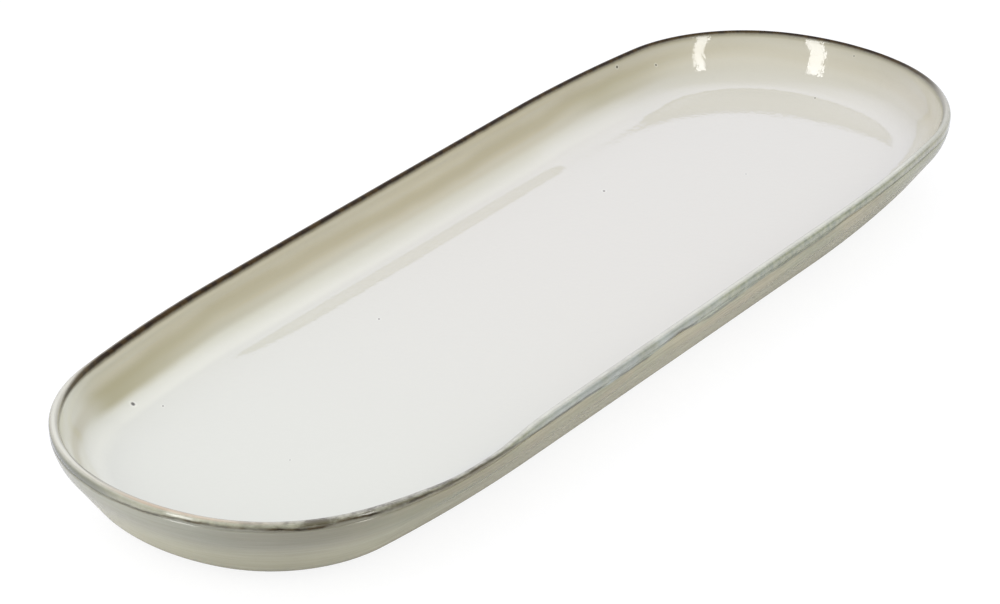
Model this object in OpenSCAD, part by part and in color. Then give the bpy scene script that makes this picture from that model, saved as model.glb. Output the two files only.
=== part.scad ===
// Long stoneware serving plate: a leaning wall with a thin round lip, swept round an outline of
// straight sides and tangent arcs, over a flat floor and a trimmed foot ring. The rim was fired
// a little uneven: it falls towards the -X end and sags out in one place on the -Y side.
// Every glaze coat is its own thin shell, lying face to face on the clay.
// Origin: middle of the table-top under the plate. +X runs along the plate, +Z is up.

/* [Plate] */
// Length over the glazed rim
plate_l = 370; // [340:1:410]
// Width over the glazed rim
plate_w = 126; // [117:1:136]
// Height from the table to the highest place of the rim
plate_h = 27.5; // [27:0.5:34]

/* [Outline] */
// Radius of the slow curve that leads each long side into its corners
side_r = 480; // [400:10:560]
// Turn of that slow curve in degrees
side_turn = 7.5; // [5:0.5:9]
// Radius of the four corners
corner_r = 54; // [50:1:58]
// Turn of the flatter end arc to each side of the long axis, in degrees
end_turn = 17; // [15:1:22]

/* [Wall] */
// Thickness of the clay wall and of the round lip on it
wall_t = 2.2; // [2:0.1:3]
// Radius over which the outer wall turns in below the lip
wall_r = 14; // [11:0.5:14.5]
// Lean of the outer wall from upright, in degrees
wall_lean = 35.5; // [33:0.5:38]
// Lean of the inner wall where it leaves the lip, in degrees: the wall thickens below it
lip_lean = 14; // [10:1:20]
// Radius over which the inner wall turns in below the lip
inner_r = 16.5; // [14:0.5:18]
// Lean of the inner wall from upright above the floor, in degrees
inner_lean = 36; // [33:1:40]
// Radius of the heel between the wall and the underside
heel_r = 11.4; // [8:0.1:13]
// Radius of the cove between the inner wall and the floor
cove_r = 11.8; // [10:0.1:13]
// Thickness of the clay floor
floor_t = 6; // [4.5:0.1:6.2]

/* [Fired rim] */
// How much lower the rim stands at the -X end than at the +X end
rim_fall = 0.8; // [0:0.1:1.2]
// Distance of the sagged place from the middle of the plate, towards the -X end, on the -Y side
sag_x = 114.5; // [90:0.5:120]
// Distance along the rim over which it sinks from level to its lowest place
sag_reach = 40; // [30:1:50]
// How far the rim sinks there
sag_down = 1.8; // [0:0.1:2]
// How far the wall leans out there
sag_out = 0.8; // [0:0.1:1]
// How much thinner the lip is there
sag_thin = 1; // [0:0.1:1]

/* [Foot ring] */
// Height of the foot ring on its outer side, below the heel
foot_h = 2.5; // [2:0.1:3]
// Height of the underside above the table inside the foot ring, where the base was trimmed out
base_up = 5.4; // [4.5:0.1:5.6]
// Width of the foot ring where it leaves the floor
foot_w = 4.5; // [4:0.1:7]
// Distance from the rim's outline in to the foot ring
foot_in = 24; // [23:0.5:27]
// Narrowing of each flank of the foot ring down to the table
foot_taper = 0.6; // [0.2:0.1:1]
// Radius of the worn edges on the foot ring
foot_edge_r = 0.8; // [0.4:0.1:1]

/* [Glaze] */
// Thickness of the glaze on the walls and the underside
coat_t = 0.3; // [0.25:0.05:0.5]
// Thickness of the glaze pooled on the floor
pool_t = 0.6; // [0.4:0.05:0.9]
// Thickness of the iron wash on the shoulder of the lip
iron_t = 0.25; // [0.1:0.05:0.3]
// How far the iron wash runs down the wall below the middle of the lip
iron_drop = 1.2; // [0.6:0.1:2.5]
// Place on the lip where the iron wash ends and the cream glaze begins, in degrees above level
iron_top = 62; // [30:1:80]
// Bare clay wiped clean on each side of the foot ring
wipe_w = 1.5; // [1:0.1:2.5]

/* [Hidden] */
// Steps along each curve of the section
crown_steps = 4;
crest_steps = 1;
shoulder_steps = 3;
wall_steps = 4;
bend_steps = 5;
edge_steps = 2;
// Steps round the end arc and the corner arc of one quarter of the outline
end_steps = 3;
corner_steps = 10;
// Steps along a side arc, and along the one that carries the sagged place
side_steps = 2;
sag_steps = 7;

// Outline: end arc, corner arc and side arc of one quarter, each tangent to the next
side_rise = side_r * (1 - cos(side_turn));
corner_rise = corner_r * (cos(side_turn) - sin(end_turn));
end_r = (plate_w / 2 - side_rise - corner_rise) / sin(end_turn);
end_c = [plate_l / 2 - end_r, 0];
corner_c = end_c + (end_r - corner_r) * [cos(end_turn), sin(end_turn)];
side_c = corner_c + (corner_r - side_r) * [sin(side_turn), cos(side_turn)];

// Section: x = 0 is the outline over the glaze, inwards is negative, y is height
lip_r = wall_t / 2;
lip_z = plate_h - coat_t - lip_r;
lip_c = [-coat_t - lip_r, lip_z];
outer_c = [-wall_r, lip_z];
inner_c = lip_c + (lip_r + inner_r) * [-cos(lip_lean), sin(lip_lean)];
clay_out_r = wall_r - coat_t;
floor_z = base_up + floor_t;
well_z = floor_z + pool_t;
lip_w = wall_t + 2 * coat_t;
foot_out = foot_in + foot_w;
iron_low = asin(iron_drop / wall_r);

// Points on an arc about c, from angle a to angle b
function arc(c, r, a, b, steps) =
    [for (i = [0:steps]) let (t = a + (b - a) * i / steps) c + r * [cos(t), sin(t)]];

// A list without its first point, and a list turned round
function tail(points) = [for (i = [1:len(points) - 1]) points[i]];
function back(points) = [for (i = [len(points) - 1:-1:0]) points[i]];

// Stations round the outline, each [x, y, direction of the outward normal]
function stations_on(c, r, a, b, steps) =
    [for (i = [1:steps]) let (t = a + (b - a) * i / steps) [c.x + r * cos(t), c.y + r * sin(t), t]];
function quarter_stations(along_side) = concat(
    stations_on(end_c, end_r, 0, end_turn, end_steps),
    stations_on(corner_c, corner_r, end_turn, 90 - side_turn, corner_steps),
    stations_on(side_c, side_r, 90 - side_turn, 90, along_side)
);
function mirror_x(list) = [for (s = list) [-s.x, s.y, 180 - s.z]];
function half_turn(list) = [for (s = list) [-s.x, -s.y, 180 + s.z]];
function half_stations(along_side) = concat(
    [[plate_l / 2, 0, 0]],
    quarter_stations(along_side),
    back(mirror_x(quarter_stations(side_steps)))
);
stations = concat(half_stations(side_steps), half_turn(half_stations(sag_steps)));

// Unevenness of the fired rim. It fades out down the wall and is gone at the level of the well
function rim_share(p) = pow(max(0, p.y - well_z) / (plate_h - well_z), 2);
function fall_at(s) = rim_fall * (1 - s.x / (plate_l / 2)) / 2;
function sag_at(s) = s.y < 0 ? (1 + cos(180 * min(1, abs(s.x + sag_x) / sag_reach))) / 2 : 0;
function outward(s, p) = sag_at(s) * rim_share(p) * (sag_out + sag_thin * min(1, -p.x / lip_w));
function downward(s, p) = rim_share(p) * (fall_at(s) + sag_at(s) * sag_down);

// A section point carried to one station: its x goes along the normal, its y goes up
function carry(s, p) = let (x = p.x + outward(s, p))
    [s.x + x * cos(s.z), s.y + x * sin(s.z), p.y - downward(s, p)];

// Two triangles between neighbours a, b on one station and c, d on the next. The cut starts at the
// higher of a and b, so the clay and the coat on it are cut alike whichever way each is walked
function cut_in_two(points, a, b, c, d) =
    points[a].z >= points[b].z ? [[a, d, b], [a, c, d]] : [[a, c, b], [b, c, d]];

// Carries a section once round the outline. A closed section gives a band; an open one runs from
// the upper face to the lower face, and each of its ends is closed by a level cap
module sweep_round(section, closed) {
    rings = len(stations);
    n = len(section);
    points = [for (s = stations) for (p = section) carry(s, p)];
    sides = [
        for (i = [0:rings - 1])
            for (j = [0:n - (closed ? 1 : 2)])
                let (next = (i + 1) % rings, down = (j + 1) % n)
                each cut_in_two(points, i * n + j, i * n + down, next * n + j, next * n + down)
    ];
    caps = closed ? [] : [
        [for (i = [rings - 1:-1:0]) i * n],
        [for (i = [0:rings - 1]) i * n + n - 1]
    ];
    polyhedron(points, concat(sides, caps));
}

// Wall surface: turn-in arc of radius r about c, from the lean "from" to the lean "lean", a straight
// run, then an arc of radius bend that lies down on the level z = base
function wall_curve(c, r, from, lean, bend, base) =
    let (
        lean_out = [cos(lean), -sin(lean)],
        lean_down = [-sin(lean), -cos(lean)],
        turn_end = c + r * lean_out,
        bend_start_z = base + bend * (1 - sin(lean)),
        run = (turn_end.y - bend_start_z) / cos(lean),
        bend_c = turn_end + run * lean_down - bend * lean_out
    )
    concat(
        arc(c, r, -from, -lean, wall_steps),
        arc(bend_c, bend, -lean, -90, bend_steps)
    );

// The four stretches of the section, each raised off the clay by t. The clay and the coats that lie
// on it take their points from the same stretches, so they meet face to face
function inner_stretch(t, base) =
    wall_curve(inner_c, inner_r - t, lip_lean, inner_lean, cove_r - t, base);
function crown_stretch(t) = concat(
    arc(lip_c, lip_r + t, 180 - lip_lean, 90, crown_steps),
    tail(arc(lip_c, lip_r + t, 90, iron_top, crest_steps))
);
function shoulder_stretch(t) = concat(
    arc(lip_c, lip_r + t, iron_top, 0, shoulder_steps),
    [outer_c + (clay_out_r + t) * [cos(iron_low), -sin(iron_low)]]
);
function outer_stretch(t) =
    wall_curve(outer_c, clay_out_r + t, iron_low, wall_lean, heel_r - coat_t + t, foot_h - t);

// Foot ring, from its inner root round the bearing edge to its outer root
function foot_points() =
    let (
        bottom_in = -foot_out + foot_taper + foot_edge_r,
        bottom_out = -foot_in - foot_taper - foot_edge_r
    )
    concat(
        [[-foot_out, base_up]],
        arc([bottom_in, foot_edge_r], foot_edge_r, 180, 270, edge_steps),
        arc([bottom_out, foot_edge_r], foot_edge_r, 270, 360, edge_steps),
        [[-foot_in, foot_h]]
    );

// Clay: floor, cove, inner wall, lip, outer wall, heel and foot ring, ending under the floor
function clay_section() = concat(
    back(inner_stretch(0, floor_z)),
    tail(crown_stretch(0)),
    tail(shoulder_stretch(0)),
    tail(outer_stretch(0)),
    back(foot_points())
);

// Cream coat: its own surface up over the lip, then back down the clay
function well_section() = concat(
    back(inner_stretch(coat_t, well_z)),
    tail(crown_stretch(coat_t)),
    back(crown_stretch(0)),
    tail(inner_stretch(0, floor_z))
);

// Iron wash: its own surface down the shoulder of the lip, then back up the clay
function iron_section() = concat(shoulder_stretch(iron_t), back(shoulder_stretch(0)));

// Outer coat: its own surface down the wall and under the heel, then back up the clay
function outer_section() = let (glaze_end = -(foot_in - wipe_w)) concat(
    outer_stretch(coat_t),
    [[glaze_end, foot_h - coat_t], [glaze_end, foot_h]],
    back(outer_stretch(0))
);

// Coat on the underside inside the foot ring
function base_section() = let (glaze_edge = -(foot_out + wipe_w)) [
    [glaze_edge, base_up],
    [glaze_edge, base_up - coat_t]
];

module stoneware_body() {
    color("#b9a88c")
        sweep_round(clay_section(), closed = false);
}

module well_glaze() {
    color("#e5e3dc")
        sweep_round(well_section(), closed = false);
}

module rim_band() {
    color("#4f3c28")
        sweep_round(iron_section(), closed = true);
}

module outer_glaze() {
    color("#a7a799")
        sweep_round(outer_section(), closed = true);
}

module base_glaze() {
    color("#b4b3a2")
        sweep_round(base_section(), closed = false);
}

stoneware_body();
well_glaze();
rim_band();
outer_glaze();
base_glaze();
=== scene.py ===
from functools import partial
from math import cos, pi, radians, sin

import bpy
import numpy as np
from mathutils import Matrix, Vector
from mathutils.bvhtree import BVHTree


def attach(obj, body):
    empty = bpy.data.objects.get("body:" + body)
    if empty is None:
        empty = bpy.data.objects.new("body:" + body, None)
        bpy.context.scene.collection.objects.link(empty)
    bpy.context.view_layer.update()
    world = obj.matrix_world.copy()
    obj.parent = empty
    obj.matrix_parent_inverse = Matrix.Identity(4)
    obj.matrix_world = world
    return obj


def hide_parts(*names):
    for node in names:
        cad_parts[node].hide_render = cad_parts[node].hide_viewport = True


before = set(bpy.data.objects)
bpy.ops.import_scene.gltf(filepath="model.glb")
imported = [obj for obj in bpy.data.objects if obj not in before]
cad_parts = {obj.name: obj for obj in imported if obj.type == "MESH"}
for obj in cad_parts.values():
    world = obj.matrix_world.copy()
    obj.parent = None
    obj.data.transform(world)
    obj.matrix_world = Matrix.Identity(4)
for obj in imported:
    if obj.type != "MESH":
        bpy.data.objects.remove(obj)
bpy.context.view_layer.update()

MM = 0.001

# Measures of the plate in millimetres. They are those of the CAD source, with the width, the
# corners and the rim as they stand in the photograph. The whole plate:
PLATE_L = 370.0
PLATE_W = 125.2
PLATE_H = 27.5
# Its outline: radius of the long sides' bow and how far it turns, the corners, and the ends' turn
SIDE_R = 480.0
SIDE_TURN = radians(7.5)
CORNER_R = 54.1
END_TURN = radians(16.7)
# Its wall: thickness, radii of the outer and inner face below the lip, and their leans
WALL_T = 2.2
WALL_R = 14.0
WALL_LEAN = radians(35.5)
LIP_LEAN = radians(14.0)
INNER_R = 16.5
INNER_LEAN = radians(36.0)
# Where the wall meets the underside and the floor, the floor and the foot ring
HEEL_R = 11.4
COVE_R = 11.8
FLOOR_T = 6.0
BASE_UP = 5.4
FOOT_H = 2.5
FOOT_W = 4.5
FOOT_IN = 24.0
FOOT_TAPER = 0.6
FOOT_EDGE_R = 0.8
# The coats: cream and olive, the cream where it pools on the floor, the iron wash and its two
# edges, and the strip wiped clean beside the foot
COAT_T = 0.3
POOL_T = 0.6
IRON_T = 0.25
IRON_DROP = 1.2
IRON_TOP = radians(62.0)
WIPE_W = 1.5
# The place where the rim sags outward: where along the plate, how long, and by how much
SAG_X = -114.5
SAG_REACH = 22.6
SAG_DOWN = 1.8
SAG_OUT = 0.8
SAG_THIN = 1.0

# Worked out from these: the lip's round, the centres of the wall's arcs and the floor's levels
LIP_R = WALL_T / 2
LIP_Z = PLATE_H - COAT_T - LIP_R
LIP_X = -COAT_T - LIP_R
LIP_W = WALL_T + 2 * COAT_T
OUTER_C = (-WALL_R, LIP_Z)
INNER_C = (LIP_X - (LIP_R + INNER_R) * cos(LIP_LEAN), LIP_Z + (LIP_R + INNER_R) * sin(LIP_LEAN))
CLAY_OUT_R = WALL_R - COAT_T
FLOOR_Z = BASE_UP + FLOOR_T
WELL_Z = FLOOR_Z + POOL_T
FOOT_OUT = FOOT_IN + FOOT_W
IRON_LOW = np.arcsin(IRON_DROP / WALL_R)

# Stations round the outline, rings of the floor, and the spine's length as a share of the plate's
STATIONS = 640
FLOOR_RINGS = 9
SPINE_SHARE = 0.7


# ---- camera, as the photograph was taken ----

VIEW_ELEVATION = radians(27.51)
VIEW_AZIMUTH = radians(-144.59)
VIEW_ROLL = radians(0.66)
VIEW_DISTANCE = 1.2463
VIEW_TARGET = Vector((0.00702, 0.01737, 0.0))
VIEW_LENS = 147.81
SENSOR_W = 36.0
IMAGE_W = 1000
IMAGE_H = 604


def camera_axes():
    """Right, up and back of the camera: back points from the target to the lens, right is level,
    and both right and up are then turned about back by the roll."""
    back = Vector((cos(VIEW_ELEVATION) * cos(VIEW_AZIMUTH),
                   cos(VIEW_ELEVATION) * sin(VIEW_AZIMUTH), sin(VIEW_ELEVATION)))
    level = Vector((0, 0, 1)).cross(back).normalized()
    upright = back.cross(level)
    right = level * cos(VIEW_ROLL) + upright * sin(VIEW_ROLL)
    up = upright * cos(VIEW_ROLL) - level * sin(VIEW_ROLL)
    return right, up, back


def place_camera():
    """The camera at the photograph's angle and distance."""
    right, up, back = camera_axes()
    camera = bpy.data.objects.new("photo_camera", bpy.data.cameras.new("photo_camera"))
    bpy.context.scene.collection.objects.link(camera)
    camera.data.lens = VIEW_LENS
    camera.data.sensor_width = SENSOR_W
    camera.data.clip_end = 20
    turn = Matrix((right, up, back)).transposed().to_4x4()
    camera.matrix_world = Matrix.Translation(VIEW_TARGET + back * VIEW_DISTANCE) @ turn
    bpy.context.scene.camera = camera


def pixel_ray(x, y):
    """Start and direction of the sight line through a pixel of the photograph."""
    right, up, back = camera_axes()
    per_pixel = SENSOR_W / VIEW_LENS / IMAGE_W
    way = right * ((x - IMAGE_W / 2) * per_pixel) - up * ((y - IMAGE_H / 2) * per_pixel) - back
    return VIEW_TARGET + back * VIEW_DISTANCE, way.normalized()


# ---- outline and sections ----

def outline():
    """Even stations round the outline. One quarter is an end arc, a corner arc, a side arc and half
    of a straight side, each tangent to the next; the other quarters are its mirror images. Gives
    the place, the outward normal and the length run so far of each station, and the whole length."""
    side_rise = SIDE_R * (1 - cos(SIDE_TURN))
    corner_rise = CORNER_R * (cos(SIDE_TURN) - sin(END_TURN))
    end_r = (PLATE_W / 2 - side_rise - corner_rise) / sin(END_TURN)
    end_c = np.array([PLATE_L / 2 - end_r, 0.0])
    corner_c = end_c + (end_r - CORNER_R) * np.array([cos(END_TURN), sin(END_TURN)])
    side_c = corner_c + (CORNER_R - SIDE_R) * np.array([sin(SIDE_TURN), cos(SIDE_TURN)])
    turns = np.array([0.0, END_TURN, pi / 2 - SIDE_TURN, pi / 2])
    radii = np.array([end_r, CORNER_R, SIDE_R])
    centres = np.array([end_c, corner_c, side_c])
    ends = np.concatenate([[0.0], np.cumsum(radii * np.diff(turns))])
    quarter = ends[3] + side_c[0]
    run = np.arange(STATIONS) * 4 * quarter / STATIONS
    lap = np.floor(run / quarter).astype(int)
    along = np.where(lap % 2 == 0, run - lap * quarter, (lap + 1) * quarter - run)
    turn = np.interp(along, ends, turns)
    part = np.clip(np.searchsorted(ends, along, side="right") - 1, 0, 2)
    place = centres[part] + radii[part, None] * np.column_stack([np.cos(turn), np.sin(turn)])
    place[:, 0] -= np.maximum(0, along - ends[3])
    signs = np.column_stack([np.where((lap == 0) | (lap == 3), 1, -1), np.where(lap < 2, 1, -1)])
    normal = np.column_stack([np.cos(turn), np.sin(turn)])
    return place * signs, normal * signs, run, 4 * quarter


def arc(cx, cz, r, a, b, steps):
    """Points at even angles from a to b on an arc about (cx, cz); r may vary along it, and the
    centre and r may differ from station to station. Shape: stations x points x 2."""
    t = np.linspace(a, b, steps + 1)[None, :]
    cx, cz, r = (np.asarray(v, float).reshape(-1, 1) if np.ndim(v) < 2 else v for v in (cx, cz, r))
    x, z = np.broadcast_arrays(cx + r * np.cos(t), cz + r * np.sin(t))
    return np.stack([x, z], axis=2)


def wall_curve(centre, r, start, lean, bend, base, steps):
    """Turn-in arc of radius r about a centre from one lean to another, a straight run, then an arc
    of radius bend that lies down on the level z = base. Steps are those of the three stretches."""
    bend = np.broadcast_to(np.asarray(bend, float), (STATIONS,))
    end_x = centre[0] + r[-1] * cos(lean)
    end_z = centre[1] - r[-1] * sin(lean)
    run = (end_z - base - bend * (1 - sin(lean))) / cos(lean)
    foot_x = end_x - run * sin(lean)
    foot_z = end_z - run * cos(lean)
    first = arc(centre[0], centre[1], r[None, :], -start, -lean, steps[0])
    first = np.broadcast_to(first, (STATIONS,) + first.shape[1:])
    share = np.linspace(0, 1, steps[1] + 1)[None, 1:-1]
    middle = np.stack([end_x + (foot_x - end_x)[:, None] * share,
                       end_z + (foot_z - end_z)[:, None] * share], axis=2)
    last = arc(foot_x - bend * cos(lean), foot_z + bend * sin(lean), bend, -lean, -pi / 2, steps[2])
    return np.concatenate([first, middle, last], axis=1)


def even(points):
    """The same section at every station."""
    points = np.asarray(points, float)
    return np.broadcast_to(points, (STATIONS,) + points.shape[-2:])


place, normal, run, whole_run = outline()
round_angle = np.arctan2(place[:, 1] / (PLATE_W / 2), place[:, 0] / (PLATE_L / 2))


BELL_POWER = 2.6


def bell(x, middle, reach):
    """A smooth hump of height one with a broad top: the exponential of minus the distance from the
    middle, in reaches, to a power."""
    return np.exp(-np.abs((x - middle) / reach) ** BELL_POWER)


# Crest height of the fired rim: its mean, how much the right end stands higher than the left, how
# much both ends lie lower than the sides, and how much it is twisted
CREST_MEAN = 26.96
CREST_TILT = 0.357
CREST_BOW = 0.150
CREST_TWIST = 0.270
# How far its outline stands out: at the right end, at the far side, at both ends, and all round
SWAY_END = -0.310
SWAY_SIDE = 0.144
SWAY_ENDS = -0.229
SWAY_ALL = -0.09
# The cove is slacker where the far side meets its right-hand corner
SLACK_X = 105.0
SLACK_REACH = 34.0
SLACK_R = 3.2
# On the far long side the edge of the floor dips a little along the middle, and rises a little into
# the cove on both sides of that: places along the plate, and depths and heights there
DIP_AT = (-80, -69, -58, -34, -7, 44, 62, 70, 78)
DIP_DEPTH = (0, 0.08, 0.19, 0.38, 0.53, 0.55, 0.48, 0.35, 0)
RISE_AT = (-165, -145, -88, -80, 74, 82, 119, 128)
RISE_HEIGHT = (0, 0.2, 0.2, 0, 0, 0.2, 0.2, 0)
# Across the section: the middle of each, and its reach towards the floor and towards the rim
DIP_SHAPE = (-16.5, 6.5, 9.0)
RISE_SHAPE = (-15.0, 7.0, 7.0)
# Only what lies above this height takes part, so the underside stays as it is
INSIDE_Z = FLOOR_Z - 0.2

sag = np.where(place[:, 1] < 0, bell(place[:, 0], SAG_X, SAG_REACH), 0.0)
crest_z = (CREST_MEAN + CREST_TILT * np.cos(round_angle) - CREST_BOW * np.cos(2 * round_angle)
           - CREST_TWIST * np.sin(2 * round_angle))
sway_out = (SWAY_END * np.cos(round_angle) + SWAY_SIDE * np.sin(round_angle)
            + SWAY_ENDS * np.cos(2 * round_angle) + SWAY_ALL)
far_side = np.where(place[:, 1] > 0, 1.0, 0.0)
cove = COVE_R + SLACK_R * far_side * bell(place[:, 0], SLACK_X, SLACK_REACH)
edge_dip = far_side * np.interp(place[:, 0], DIP_AT, DIP_DEPTH)
edge_rise = far_side * np.interp(place[:, 0], RISE_AT, RISE_HEIGHT)


def swell(x, middle, inner, outer):
    """A raised cosine of height one across the section, that fades out over one reach towards the
    middle of the plate and over another towards the rim."""
    off = x - middle
    return 0.5 + 0.5 * np.cos(pi * np.clip(np.where(off < 0, off / inner, off / outer), -1, 1))


def carried(section):
    """Section points (x outward, z up) set at every station: across the outline along its normal,
    with the rim's own rise, fall and sag, which fade out down the wall as the square of the height
    above the well, and the dip and rise of the floor's edge."""
    x, z = section[..., 0], section[..., 1]
    share = (np.maximum(0, z - WELL_Z) / (PLATE_H - WELL_Z)) ** 2
    out = sag[:, None] * share * (SAG_OUT + SAG_THIN * np.minimum(1, -x / LIP_W))
    down = share * ((PLATE_H - crest_z)[:, None] + SAG_DOWN * sag[:, None])
    inside = np.where(z > INSIDE_Z, 1.0, 0.0)
    down = down + inside * (edge_dip[:, None] * swell(x, *DIP_SHAPE)
                            - edge_rise[:, None] * swell(x, *RISE_SHAPE))
    across = x + out + sway_out[:, None]
    flat = place[:, None, :] + across[..., None] * normal[:, None, :]
    return np.concatenate([flat, (z - down)[..., None]], axis=2)


# Points along each stretch of the section, and how far in the floor's edge reaches
INNER_STEPS = (10, 5, 16)
OUTER_STEPS = (9, 5, 14)
CROWN_STEPS = 14
SHOULDER_STEPS = 8
DROP_STEPS = 2
FOOT_STEPS = 5
EDGE_STEPS = 12
EDGE_X = -30.0
# How fast a coat thickens from the iron wash: its whole rise over one part in so many
CROWN_RISE = 3
OUTER_RISE = 4


def coat_on_crown(t):
    """Thickness of the cream coat over the crown: as thin as the iron wash where they meet, and
    thicker in proportion to the distance from there until it is whole."""
    return IRON_T + (t - IRON_T) * np.minimum(1, np.linspace(0, CROWN_RISE, CROWN_STEPS + 1))


def inner_wall(t, base):
    """Inner face of the wall and the cove, with a coat of thickness t, down to the level of base."""
    radius = np.full(INNER_STEPS[0] + 1, INNER_R - t)
    return wall_curve(INNER_C, radius, LIP_LEAN, INNER_LEAN, cove - t, base, INNER_STEPS)


def floor_edge(section):
    """A section of the inner wall, carried on over the outer part of the floor on its own level."""
    last = section[:, -1:]
    share = np.linspace(0, 1, EDGE_STEPS + 1)[None, 1:]
    x = last[..., 0] + (EDGE_X - last[..., 0]) * share
    return np.concatenate([section, np.stack([x, last[..., 1] + 0 * x], axis=2)], axis=1)


def crown(t):
    """Top of the lip, from the iron wash over to the inner face: an arc, with a coat of thickness t."""
    radius = LIP_R + (coat_on_crown(t) if t else 0 * coat_on_crown(1))
    return even(arc(LIP_X, LIP_Z, radius[None, :], IRON_TOP, pi - LIP_LEAN, CROWN_STEPS))


def shoulder(t):
    """Outer shoulder of the lip and the first drop of the wall: two arcs that meet level."""
    lip = arc(LIP_X, LIP_Z, LIP_R + t, IRON_TOP, 0, SHOULDER_STEPS)
    drop = arc(*OUTER_C, CLAY_OUT_R + t, 0, -IRON_LOW, DROP_STEPS)
    return even(np.concatenate([lip, drop[:, 1:]], axis=1))


def outer_wall(t):
    """Outer face of the wall and the heel, with a coat of thickness t that starts as thin as the
    iron wash."""
    thin = np.minimum(1, np.linspace(0, OUTER_RISE, OUTER_STEPS[0] + 1))
    radius = CLAY_OUT_R + (IRON_T + (t - IRON_T) * thin if t else 0 * thin)
    heel = HEEL_R - COAT_T + t
    return wall_curve(OUTER_C, radius, IRON_LOW, WALL_LEAN, heel, FOOT_H - t, OUTER_STEPS)


def foot():
    """The foot ring: two slightly sloping sides and a bottom with rounded edges."""
    bottom_in = -FOOT_OUT + FOOT_TAPER + FOOT_EDGE_R
    bottom_out = -FOOT_IN - FOOT_TAPER - FOOT_EDGE_R
    return even(np.concatenate([
        [[-FOOT_IN, FOOT_H]],
        arc(bottom_out, FOOT_EDGE_R, FOOT_EDGE_R, 0, -pi / 2, FOOT_STEPS)[0],
        arc(bottom_in, FOOT_EDGE_R, FOOT_EDGE_R, -pi / 2, -pi, FOOT_STEPS)[0],
        [[-FOOT_OUT, BASE_UP]],
    ]))


def disc(edge):
    """Level rings from a carried edge down to a spine line in the middle of the plate: each ring is
    the edge drawn a further share of the way to its own point on the spine."""
    spine = edge.copy()
    spine[:, 0] = place[:, 0] * SPINE_SHARE
    spine[:, 1] = 0
    share = np.linspace(0, 1, FLOOR_RINGS + 1)[None, 1:, None]
    return edge[:, None] + (spine - edge)[:, None] * share


def back(grid):
    """The same grid with each section read from its other end."""
    return grid[:, ::-1]


# ---- meshes ----

def swept_piece(name, grid, fields, spines, flat_rows=()):
    """A closed skin from a grid of stations x points. The stations close on themselves. With spines,
    the first and last points are those of a spine line, where the two sides of the plate meet and
    share their points; without, the section closes on itself. Flat rows are shaded flat, so that
    the thin edge of a coat doesn't bend the light on its face."""
    stations, points = grid.shape[:2]
    ids = np.empty((stations, points), int)
    first = 1 if spines else 0
    inner = points - 2 * first
    ids[:, first:points - first] = np.arange(stations * inner).reshape(stations, inner)
    verts = [grid[:, first:points - first].reshape(-1, 3)]
    data = {k: [v[:, first:points - first].reshape(stations * inner, -1)] for k, v in fields.items()}
    if spines:
        half = stations // 2 + 1
        fold = np.minimum(np.arange(stations), stations - np.arange(stations))
        for column, start in ((0, stations * inner), (points - 1, stations * inner + half)):
            ids[:, column] = start + fold
            verts.append(grid[:half, column])
            for key, field in fields.items():
                data[key].append(field[:half, column].reshape(half, -1))
    following = np.roll(ids, -1, axis=0)
    nxt = np.roll(ids, -1, axis=1)
    corner = np.roll(following, -1, axis=1)
    quads = np.stack([ids, nxt, corner, following], axis=2)
    smooth = np.ones((stations, points), bool)
    smooth[:, list(flat_rows)] = False
    if spines:
        quads, smooth = quads[:, :-1], smooth[:, :-1]
    verts = np.concatenate(verts) * MM
    quads = quads.reshape(-1, 4)
    a, b, c = verts[quads[:, 0]], verts[quads[:, 1]], verts[quads[:, 2]]
    d = verts[quads[:, 3]]
    volume = (np.einsum("ij,ij->i", a, np.cross(b, c)) + np.einsum("ij,ij->i", a, np.cross(c, d))).sum()
    if volume < 0:
        quads = quads[:, ::-1]
    mesh = bpy.data.meshes.new(name)
    mesh.from_pydata(verts.tolist(), [], quads.tolist())
    mesh.polygons.foreach_set("use_smooth", smooth.reshape(-1))
    for key, parts in data.items():
        values = np.concatenate(parts).astype(np.float32)
        kind = "FLOAT_VECTOR" if values.shape[1] == 3 else "FLOAT"
        field = mesh.attributes.new(key, kind, "POINT")
        field.data.foreach_set("vector" if kind == "FLOAT_VECTOR" else "value", values.reshape(-1))
    mesh.update()
    piece = bpy.data.objects.new(name, mesh)
    bpy.context.scene.collection.objects.link(piece)
    return piece


def lengths_along(section):
    """Length along each section from its first point, stations x points."""
    step = np.linalg.norm(np.diff(section, axis=1), axis=2)
    return np.concatenate([np.zeros((STATIONS, 1)), np.cumsum(step, axis=1)], axis=1)


def ring_field(across):
    """Coordinates that follow the plate round without a seam: a circle as long as the outline, and
    the place across it, in metres."""
    turn = 2 * pi * run / whole_run
    circle = whole_run / (2 * pi)
    x = np.broadcast_to((circle * np.cos(turn))[:, None], across.shape)
    y = np.broadcast_to((circle * np.sin(turn))[:, None], across.shape)
    return np.stack([x, y, across], axis=2) * MM


# Each coat has a face and a hidden side that lies on the clay. "Across" is the length along the
# section from the top of the lip, in millimetres: less than nothing inside, more outside
well_skin = crown(COAT_T)
inner_skin = floor_edge(inner_wall(COAT_T, WELL_Z))
upper = np.concatenate([well_skin, inner_skin[:, 1:]], axis=1)
top_arc = (LIP_R + IRON_T) * (pi / 2 - IRON_TOP)
upper_across = top_arc - lengths_along(upper)
upper_grid = carried(upper)
well_disc = disc(upper_grid[:, -1])
well_top = np.concatenate([upper_grid, well_disc], axis=1)
disc_across = upper_across[:, -1:] - np.linalg.norm(well_disc - upper_grid[:, -1:], axis=2)
well_across = np.concatenate([upper_across, disc_across], axis=1)

under = carried(np.concatenate([crown(0), floor_edge(inner_wall(0, FLOOR_Z))[:, 1:]], axis=1))
under_disc = disc(under[:, -1])
well_under = np.concatenate([under, under_disc], axis=1)

band = shoulder(IRON_T)
band_across = top_arc + lengths_along(band)
band_grid = carried(band)
band_under = carried(shoulder(0))

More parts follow.
